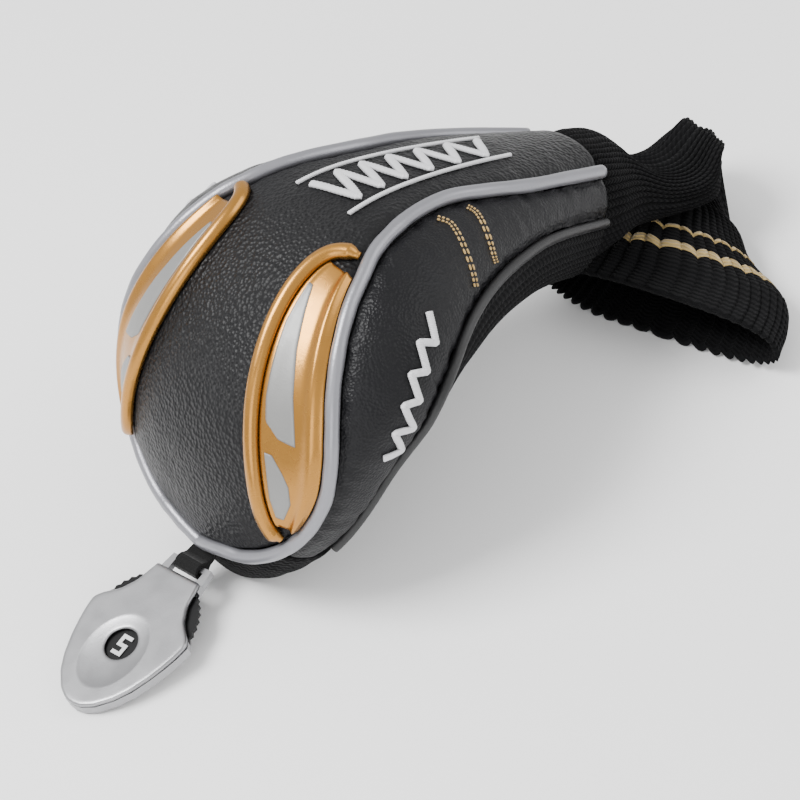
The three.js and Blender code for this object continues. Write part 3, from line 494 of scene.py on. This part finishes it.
g = nudge(welt, 1, WELT_R + 0.2)
gs = np.linspace(NOSE_S + .006, .992, 170)
ga = np.stack([gs, fn(g)(gs)], 1)
gb = np.stack([gs, 2 * math.pi - ga[:, 1]], 1)
panel("gusset_knit", ga, gb, RIBS * 6, KNITM, KNIT - 0.4, lambda f, X, wid, arc: rib(f * RIBS, 0.9) + 0.15 * waves(X, arc, 5, 41, 12, 40), ("knit_gusset",), "black_knit", base=-0.2, ribs=RIBS)
ne = nudge(pipe, 1, PIPING_R + 0.4)
ne = ne[ne[:, 0] < .2]
ne = np.stack([ne[:, 1], ne[:, 0]], 1)
nt_, nk = 132, 26
tt = 2 * math.pi * np.arange(nt_) / nt_
reach = np.minimum(fn(ne)(np.abs(np.where(tt > math.pi, tt - 2 * math.pi, tt))), NOSE_S)
k = np.linspace(0.04, 1, nk)[:, None] ** 1.4
S, T = reach[None, :] * k, tt[None, :] + 0 * k
D = 0.35 * np.sin(S / NOSE_S * 22)
O, I = at(S, T, -0.2 + D * 0.4), at(S, T, -0.2 - KNIT)
O[..., 2] = np.maximum(O[..., 2], 0.0)
I[..., 2] = np.maximum(I[..., 2], 1.7)
V = np.vstack([O.reshape(-1, 3), I.reshape(-1, 3), O[0].mean(0)[None], I[0].mean(0)[None]])
i, j = [x.ravel() for x in np.meshgrid(np.arange(nk - 1), np.arange(nt_), indexing="ij")]
o_ = lambda a, b: a * nt_ + b % nt_
q_ = lambda a, b: nk * nt_ + o_(a, b)
j1 = np.arange(nt_)
z1 = 0 * j1
F = [np.stack([o_(i, j), o_(i, j + 1), o_(i + 1, j + 1), o_(i + 1, j)], 1), np.stack([q_(i, j), q_(i + 1, j), q_(i + 1, j + 1), q_(i, j + 1)], 1),
     np.stack([o_(z1 + nk - 1, j1), o_(z1 + nk - 1, j1 + 1), q_(z1 + nk - 1, j1 + 1), q_(z1 + nk - 1, j1)], 1),
     np.stack([z1 + 2 * nk * nt_, o_(z1, j1 + 1), o_(z1, j1)], 1), np.stack([z1 + 2 * nk * nt_ + 1, q_(z1, j1), q_(z1, j1 + 1)], 1)]
uv = np.stack([(T * 8).ravel(), (S * 180).ravel()], 1)
mk("nose_knit", V, F, KNITM, repl=("nose_panel",), slot="black_knit", uv=np.vstack([uv, uv, [[0, 0], [0, 0]]]))

# ------------------------------------------------------------------ moulded inserts
rl = line(ROLL, 120)
inner = nudge(rl, -1, 5.4 / 2 + 0.3)
inner_f, edge_f = fn(inner[18:]), fn(edge)
rows = np.linspace(.226, .526, 90)
lo_, hi_ = inner_f(rows), np.maximum(edge_f(rows), inner_f(rows) + .05)


def plate_h(s, th):
    f = np.clip((th - np.interp(s, rows, lo_)) / (np.interp(s, rows, hi_) - np.interp(s, rows, lo_)), 0, 1)
    return 1.0 + 1.5 * np.exp(-((f - .80) / .13) ** 2) + 0.45 * np.exp(-((f - .05) / .07) ** 2)


W1L = fn([[.497, .352], [.471, .36], [.448, .37], [.421, .40], [.395, .435], [.37, .475], [.347, .53], [.334, .66]])
W1R = fn([[.497, .375], [.468, .433], [.429, .515], [.383, .636], [.353, .732], [.334, .79]])
W2L, W2R = fn([[.318, .585], [.300, .63], [.264, .715], [.238, .81]]), fn([[.318, .63], [.30, .76], [.287, .835], [.265, .895], [.238, .88]])
for side, sg in (("right", 1), ("left", -1)):
    mm = lambda l: np.asarray(l) * np.array([1, sg])
    n = len(rl)
    sc = np.clip(np.minimum(np.arange(n), n - 1 - np.arange(n)) / 7.0, .25, 1) ** .5
    bead(f"roll_{side}", mm(rl), dome(5.2, 3.3, 14, .8), 0.55, GOLD, scale=sc, repl=(f"insert_roll_{side}",), slot="gold_moulding")
    f = np.linspace(0, 1, 41)[None, :]
    T = lo_[:, None] * (1 - f) + hi_[:, None] * f
    S = rows[:, None] + 0 * f
    H = plate_h(S, T)
    grid(f"plate_{side}", at(S, T * sg, H), at(S, T * sg, 0.35 + 0 * H), S * 300, T * 60, GOLD, repl=(f"insert_plate_{side}",), slot="gold_moulding")
    for nm, a, b, l, r in (("upper", .336, .495, W1L, W1R), ("lower", .240, .316, W2L, W2R)):
        s = np.linspace(a, b, 48)
        f = np.linspace(0, 1, 17)[None, :]
        T = l(s)[:, None] * (1 - f) + r(s)[:, None] * f
        S = s[:, None] + 0 * f
        d = np.minimum(f, 1 - f) + 0 * S
        H = plate_h(S, T) + .08 + .35 * (1 - np.exp(-d * 14))
        grid(f"window_{nm}_{side}", at(S, T * sg, H), at(S, T * sg, plate_h(S, T) - .3), S * 300, T * 60, INLAY, repl=(f"insert_{nm}_window_{side}",), slot="silver_inlay")

# ------------------------------------------------------------------ raised satin stitch and thread rows


def zigzag(s0, s1, n, mid, amp, steps=26):
    out = []
    for i in range(n):
        for q in np.linspace(0, 1, steps, endpoint=False):
            s = s0 + (s1 - s0) * (i + q) / n
            a = amp * (1 - 2 * q) if i % 2 else -amp * (1 - 2 * q)
            out.append([s, mid(s) + a])
    out.append([s1, mid(s1) + (amp if n % 2 else -amp)])
    return np.array(out)


def satin(l, w, h, lift, m=1):
    l = np.asarray(l) * np.array([1, m])
    C, M, Nn = on_skin(l, lift)
    sc = 1 + 0.05 * np.where(np.arange(len(l)) % 2, 1, -1)
    return sweep(C, M, Nn, dome(w, h, 8, .6), sc)


c0 = lambda s: 0.02 + 0 * s
rail = lambda t, a, b, n=150: np.stack([np.linspace(a, b, n), np.full(n, t)], 1)
many("crown_motif", [satin(zigzag(.60, .86, 12, c0, .12), 2.9, 1.2, .3), satin(rail(.205, .59, .87), 1.5, .9, .3), satin(rail(-.165, .59, .87), 1.5, .9, .3)], THREAD, repl=("crown_embroidery",), slot="pale_thread")
sm = fn([[.33, 1.66], [.42, 1.56], [.50, 1.33], [.575, 1.15]])
for side, sg in (("right", 1), ("left", -1)):
    z = zigzag(.36, .565, 10, sm, .085)
    many(f"side_motif_{side}", [satin(z, 2.3, 1.1, .3, sg)], THREAD, repl=(f"side_embroidery_{side}",), slot="pale_thread")
ROWS = [["front", [[.688, .575], [.699, .66], [.698, .76], [.691, .92], [.682, 1.13], [.675, 1.27]]], ["rear", [[.744, .61], [.749, .68], [.748, .78], [.74, 1.0], [.735, 1.14], [.734, 1.22]]]]
for nm, pts in ROWS:
    for side, sg in (("right", 1), ("left", -1)):
        parts = []
        for off in (-.75, .75):
            l = nudge(line(pts, 90), 1, off)
            n = 9
            for a in range(0, len(l) - 5, 6):
                b = l[a:a + 5] * np.array([1, sg])
                uu = np.linspace(0, 4, n)
                b = np.stack([np.interp(uu, np.arange(5), b[:, k]) for k in range(2)], 1)
                C, M, Nn = on_skin(b, .15)
                parts.append(sweep(C, M, Nn, ring(.38, 8), np.sin(math.pi * np.linspace(.08, .92, n)) ** .35))
        many(f"stitches_{nm}_{side}", parts, GOLDTHREAD, repl=(f"stitch_row_{nm}_{side}",), slot="gold_thread")

# ------------------------------------------------------------------ knit sock: one sleeve, folded back under itself
K = [  # centre, half-width direction, half width, half-height direction, half height
    (74.6, 0, 48.6, 0, -1, 0, 18.8, 0.48, 0, 0.877, 19.3),
    (81.6, 0, 44.8, 0, -1, 0, 19.2, 0.48, 0, 0.877, 19.6),
    (87.837, 0.628, 43.056, -0.071, -1, 0, 20.78, 0.42, 0, 0.91, 20.898),
    (96.589, 0.441, 41.117, -0.119, -1, 0, 21.188, 0.3, 0, 0.954, 19.144),
    (109.803, 0.795, 36.783, -0.198, -1, 0, 20.178, 0.16, 0, 0.987, 14.978),
    (116.801, -3.361, 31.641, -0.025, -1, 0, 18.442, 0.06, 0, 1, 10.268),
    (132.024, -7.917, 28.692, 0.062, -1, 0, 15.744, 0, 0, 1, 8.226),
    (143.281, -2.944, 27.967, 0.052, -0.99, 0, 13.287, 0.7, 0.1, 0.7, 10.738),
    (143.913, 3.283, 19.923, 0.017, -0.98, 0, 15.103, 1, 0.2, 0, 11.545),
    (139.532, 0.274, 11.602, 0.07, -0.96, 0, 18.923, 0.72, 0.2, -0.68, 10.651),
    (130.04, -7.758, 9.686, 0.159, -0.94, 0, 24.447, 0, 0, -1, 9.986),
    (119.355, -15.197, 9.612, 0.205, -0.93, 0, 30.12, 0, 0, -1, 9.912),
    (110.78, -22.568, 9.746, 0.266, -0.937, 0, 36.565, 0, 0, -1, 10.046),
    (103.557, -28.937, 10.127, 0.287, -0.944, 0, 42.075, 0, 0, -1, 10.427),
    (96.722, -33.385, 10.2, 0.204, -0.947, 0, 45.558, 0, 0, -1, 10.5),
    (87.134, -37.658, 10.7, 0.189, -0.95, 0, 46.82, 0, 0, -1, 11)]
K = np.array(K, float)
kt = np.concatenate([[0], np.cumsum(np.linalg.norm(np.diff(K[:, :3], axis=0), axis=1))])


def station(v):
    """Smooth interpolation of the stations, v in mm along the sleeve."""
    m = np.gradient(K, kt, axis=0)
    i = np.clip(np.searchsorted(kt, v, side="right") - 1, 0, len(kt) - 2)
    h = (kt[i + 1] - kt[i])[:, None]
    t = ((v - kt[i]) / h[:, 0])[:, None]
    return (2 * t ** 3 - 3 * t ** 2 + 1) * K[i] + (t ** 3 - 2 * t ** 2 + t) * h * m[i] + (-2 * t ** 3 + 3 * t ** 2) * K[i + 1] + (t ** 3 - t ** 2) * h * m[i + 1]


SR = 46


def sock_pts(v, u, grow):
    """Points of the sleeve at v mm along it and u ribs round it; grow is a relief in mm."""
    k = station(v)
    c, w, a, hh, b = k[:, :3], k[:, 3:6], k[:, 6], k[:, 7:10], k[:, 10]
    w = w / np.linalg.norm(w, axis=1, keepdims=True)
    hh = hh / np.linalg.norm(hh, axis=1, keepdims=True)
    t = 2 * math.pi * u / SR
    q = 2 / 2.4
    A = (a[:, None] + grow) * pw(np.cos(t), q)[None, :]
    B = (b[:, None] + grow) * pw(np.sin(t), q)[None, :]
    return c[:, None] + A[..., None] * w[:, None] + B[..., None] * hh[:, None] - ORIGIN


def sock_relief(v, u):
    vv, uu = v[:, None], u[None, :]
    f = np.abs(v - kt[8])[:, None]
    fold = np.exp(-(f / 26) ** 2) * 0.9 * waves(uu * 2.6 + 0 * vv, vv * 0.35, 6, 51, 9, 26)
    cuff = np.where(vv > kt[13], 0.5, 0)
    return rib(uu + 0 * vv, 1.3) + fold + 0.45 * waves(uu * 2.4 + 0 * vv, vv, 6, 52, 16, 48) + cuff


sv = np.linspace(0, kt[-1], 200)
su = np.arange(SR * 7) / 7.0
rel = sock_relief(sv, su)
O = sock_pts(sv, su, rel - 0.35)
I = sock_pts(sv, su, rel * 0.9 - 2.2)
out_dir = O[-1] - O[-4]
out_dir /= np.linalg.norm(out_dir, axis=1, keepdims=True)
scal = (np.abs(np.sin(math.pi * su)) * 1.3 - 0.5)[:, None] * out_dir
O[-1] += scal
I[-1] += scal
O[-2] += scal * .5
I[-2] += scal * .5
O[..., 2] = np.maximum(O[..., 2], 0.0)
I[..., 2] = np.maximum(I[..., 2], 1.6)
sock = grid("knit_sock", O, I, su[None, :] + 0 * sv[:, None], sv[:, None] + 0 * su[None, :], KNITM, closed=True, repl=("sock_neck", "sock_mouth", "sock_cuff"), slot="black_knit")
uu = np.arange(SR * 10 // 2 + 1) / 10.0 + SR / 2
tri = np.abs((uu % 2) - 1) - 0.5
for nm, v0, w in (("narrow", kt[11] + .30 * (kt[12] - kt[11]), .9), ("wide", kt[12] + .28 * (kt[13] - kt[12]), 2.1)):
    f = np.linspace(-1, 1, 9)
    P, Q = [], []
    for x in f:
        v = v0 + x * w + tri * 2.2
        lift = 0.12 + 0.28 * (1 - x * x)
        pt = np.stack([sock_pts(np.array([a]), np.array([b]), sock_relief(np.array([a]), np.array([b])) - .35 + np.array([[lift]]))[0, 0] for a, b in zip(v, uu)])
        pb = np.stack([sock_pts(np.array([a]), np.array([b]), sock_relief(np.array([a]), np.array([b])) - .75)[0, 0] for a, b in zip(v, uu)])
        P.append(pt)
        Q.append(pb)
    P, Q = np.array(P), np.array(Q)
    grid(f"stripe_{nm}", P, Q, uu[None, :] + 0 * f[:, None], (f * w)[:, None] + 0 * uu[None, :], YARN, repl=(f"sock_stripe_{nm}",), slot="gold_yarn")

# ------------------------------------------------------------------ tag
yaw, pitch = math.radians(9.0), math.radians(9.3)
ty = np.array([math.cos(pitch) * math.cos(yaw), math.cos(pitch) * math.sin(yaw), math.sin(pitch)])
tx_ = np.array([math.sin(yaw), -math.cos(yaw), 0.0])
tz_ = np.cross(tx_, ty)
TAG = np.array([-92.0, -1.2, 11.4]) - ORIGIN
half = np.array([[2.6, 9.3], [3, 9.4], [7, 10.4], [11, 11.4], [16, 14.4], [20, 19.2], [22.6, 21.1], [27, 20.6], [32, 19.4], [37, 17.9], [43.5, 15.2], [48.7, 12], [53.4, 7.4], [55.7, 3.2], [56.1, 0]])
poly = np.vstack([np.stack([half[:, 1], -half[:, 0]], 1), np.stack([-half[::-1, 1], -half[::-1, 0]], 1)[1:]])
poly = np.vstack([[0, -2.6], poly, [0, -2.6]])
seg = np.concatenate([[0], np.cumsum(np.linalg.norm(np.diff(poly, axis=0), axis=1))])
tq = np.linspace(0, seg[-1], 241)[:-1]
outl = np.stack([np.interp(tq, seg, poly[:, k]) for k in range(2)], 1)
for _ in range(3):
    keep_ = np.abs(outl[:, 1] + 2.6) < 2
    sm_ = (np.roll(outl, 1, 0) + 2 * outl + np.roll(outl, -1, 0)) / 4
    outl = np.where(keep_[:, None], outl, sm_)
wc = np.array([0, -31.8])
dirn = outl - wc
rad = np.linalg.norm(dirn, axis=1, keepdims=True)
dirn /= rad
ro = np.linspace(0, 1, 40)[:, None, None]
XY = wc + dirn[None] * (5.75 + (rad[None] - 5.75) * ro)
ed = (rad[None, :, 0] - 5.75) * (1 - ro[..., 0])
FT, FB = 2.65, 1.25
el = ((XY[..., 0] / 10.9) ** 2 + ((XY[..., 1] + 35.3) / 13.8) ** 2) ** .5
dish = np.clip(1 - el ** 2.2, 0, 1) ** .8 * .95
Z = FT - dish - .45 * np.exp(-ed / .35) - .25 * np.exp(-(XY[..., 0] ** 2 * 0 + (np.linalg.norm(XY - wc, axis=-1) - 5.75) / .3))
loc = lambda xy, z: TAG + xy[..., :1] * tx_ + xy[..., 1:] * ty + np.asarray(z)[..., None] * tz_
grid("tag_face", loc(XY, Z), loc(XY, 0 * Z + FB), XY[..., 0], XY[..., 1], METAL, closed=True, body="tag", repl=("tag_face_plate",), slot="tag_metal")


def finish_cad(node, mat):
    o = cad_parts[node]
    o = o if hasattr(o, "material_slots") else bpy.data.objects[node]
    for s in o.material_slots:
        s.material = mat


for node, mat in (("tag_tray", METAL), ("tag_rivet", STEEL), ("dial_pivot", STEEL), ("number_dial", DIAL), ("tag_strap", WEB)):
    finish_cad(node, mat)
for nm in "34579":
    finish_cad(f"numeral_{nm}", NUMERAL)

v0, v1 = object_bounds()
